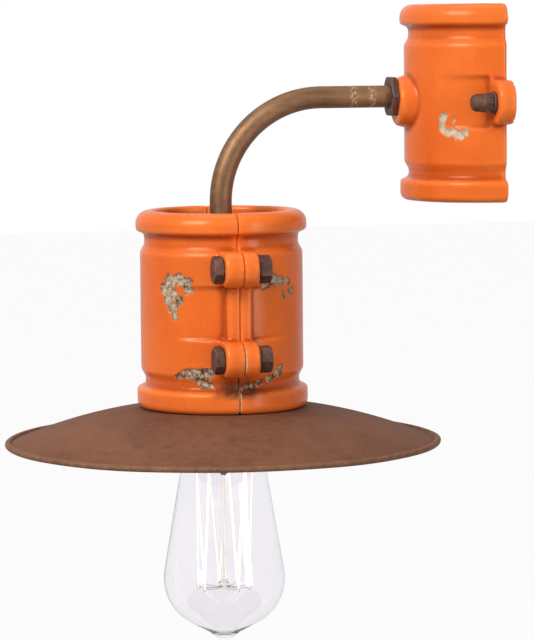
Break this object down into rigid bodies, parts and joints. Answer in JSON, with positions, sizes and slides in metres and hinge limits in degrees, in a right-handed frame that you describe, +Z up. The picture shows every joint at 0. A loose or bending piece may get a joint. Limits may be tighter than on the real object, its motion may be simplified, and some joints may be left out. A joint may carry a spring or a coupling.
{
  "type": "industrial pipe wall light",
  "caption": "Wall light with a glazed half pipe coupling on the wall, a bent brass arm, and a bolted coupling over a shallow dished shade with a clear filament bulb.",
  "frame": {"origin": "on the wall plane, on the light's middle plane, behind the middle of the wall coupling (the back face of the bracket)", "axes": "+Y into the wall, so the room is towards -Y; +Z up; +X to the right of a person facing the wall"},
  "size_m": [0.229, 0.2577, 0.3326],
  "materials": {
    "orange_glaze": "glossy orange glaze on fired clay, rubbed and chipped on the edges",
    "dark_iron": "dark brown oiled iron, rough",
    "aged_brass": "browned brass with a soft shine and small bright specks",
    "rusted_shade": "matt rust-brown, mottled, lighter on the worn rim",
    "zinc_steel": "zinc plated, satin",
    "fired_clay": "plain white fired clay",
    "bright_brass": "plain brass",
    "terminal_housing": "off-white moulded housing",
    "live_sleeve": "brown insulation",
    "neutral_sleeve": "blue insulation",
    "earth_sleeve": "green and yellow insulation",
    "clear_glass": "clear blown glass",
    "stem_glass": "clear pressed glass",
    "black_glass": "black glass insulator",
    "filament": "glowing wire",
    "hook_wire": "dark thin wire"
  },
  "bodies": {
    "wall_light": {"wall_bracket": "zinc_steel", "bracket_stud_left": "dark_iron", "bracket_stud_right": "dark_iron", "stud_washer_left": "dark_iron", "stud_washer_right": "dark_iron", "cap_nut_left": "dark_iron", "cap_nut_right": "dark_iron", "wall_rose": "orange_glaze", "terminal_block": "terminal_housing", "terminal_screws": "zinc_steel", "block_screw": "zinc_steel", "earth_screw": "bright_brass", "arm_tube": "aged_brass", "arm_wall_nipple": "zinc_steel", "arm_inner_washer": "zinc_steel", "arm_inner_nut": "zinc_steel", "arm_lock_nut": "dark_iron", "arm_lamp_nipple": "zinc_steel", "hanger_plate": "dark_iron", "hanger_nut": "dark_iron", "live_wire": "live_sleeve", "neutral_wire": "neutral_sleeve", "earth_wire": "earth_sleeve", "clamp_front_half": "orange_glaze", "clamp_rear_half": "orange_glaze", "clamp_bolt_1": "dark_iron", "clamp_nut_1": "dark_iron", "clamp_bolt_2": "dark_iron", "clamp_nut_2": "dark_iron", "clamp_bolt_3": "dark_iron", "clamp_nut_3": "dark_iron", "clamp_bolt_4": "dark_iron", "clamp_nut_4": "dark_iron", "lampholder_body": "fired_clay", "lampholder_cap": "aged_brass", "lampholder_shell": "bright_brass", "live_terminal": "bright_brass", "neutral_terminal": "bright_brass", "earth_terminal": "bright_brass", "holder_screws": "zinc_steel", "contact_spring": "zinc_steel", "shade": "rusted_shade", "shade_ring": "rusted_shade"},
    "bulb": {"bulb_glass": "clear_glass", "bulb_cap": "bright_brass", "bulb_insulator": "black_glass", "bulb_tip_contact": "bright_brass", "bulb_stem": "stem_glass", "bulb_filament": "filament", "bulb_hooks": "hook_wire", "bulb_leads": "hook_wire"},
    "contact": {"centre_contact": "bright_brass"}
  },
  "joints": [
    {"name": "bulb_unscrew", "type": "slide", "parent": "wall_light", "child": "bulb", "axis": [0, 0, -1], "range_m": [0, 0.03]},
    {"name": "contact_spring_press", "type": "slide", "parent": "wall_light", "child": "contact", "axis": [0, 0, 1], "range_m": [0, 0.001], "stiffness_N_per_m": 400, "springref_m": -0.001, "deforming": ["contact_spring"]}
  ]
}
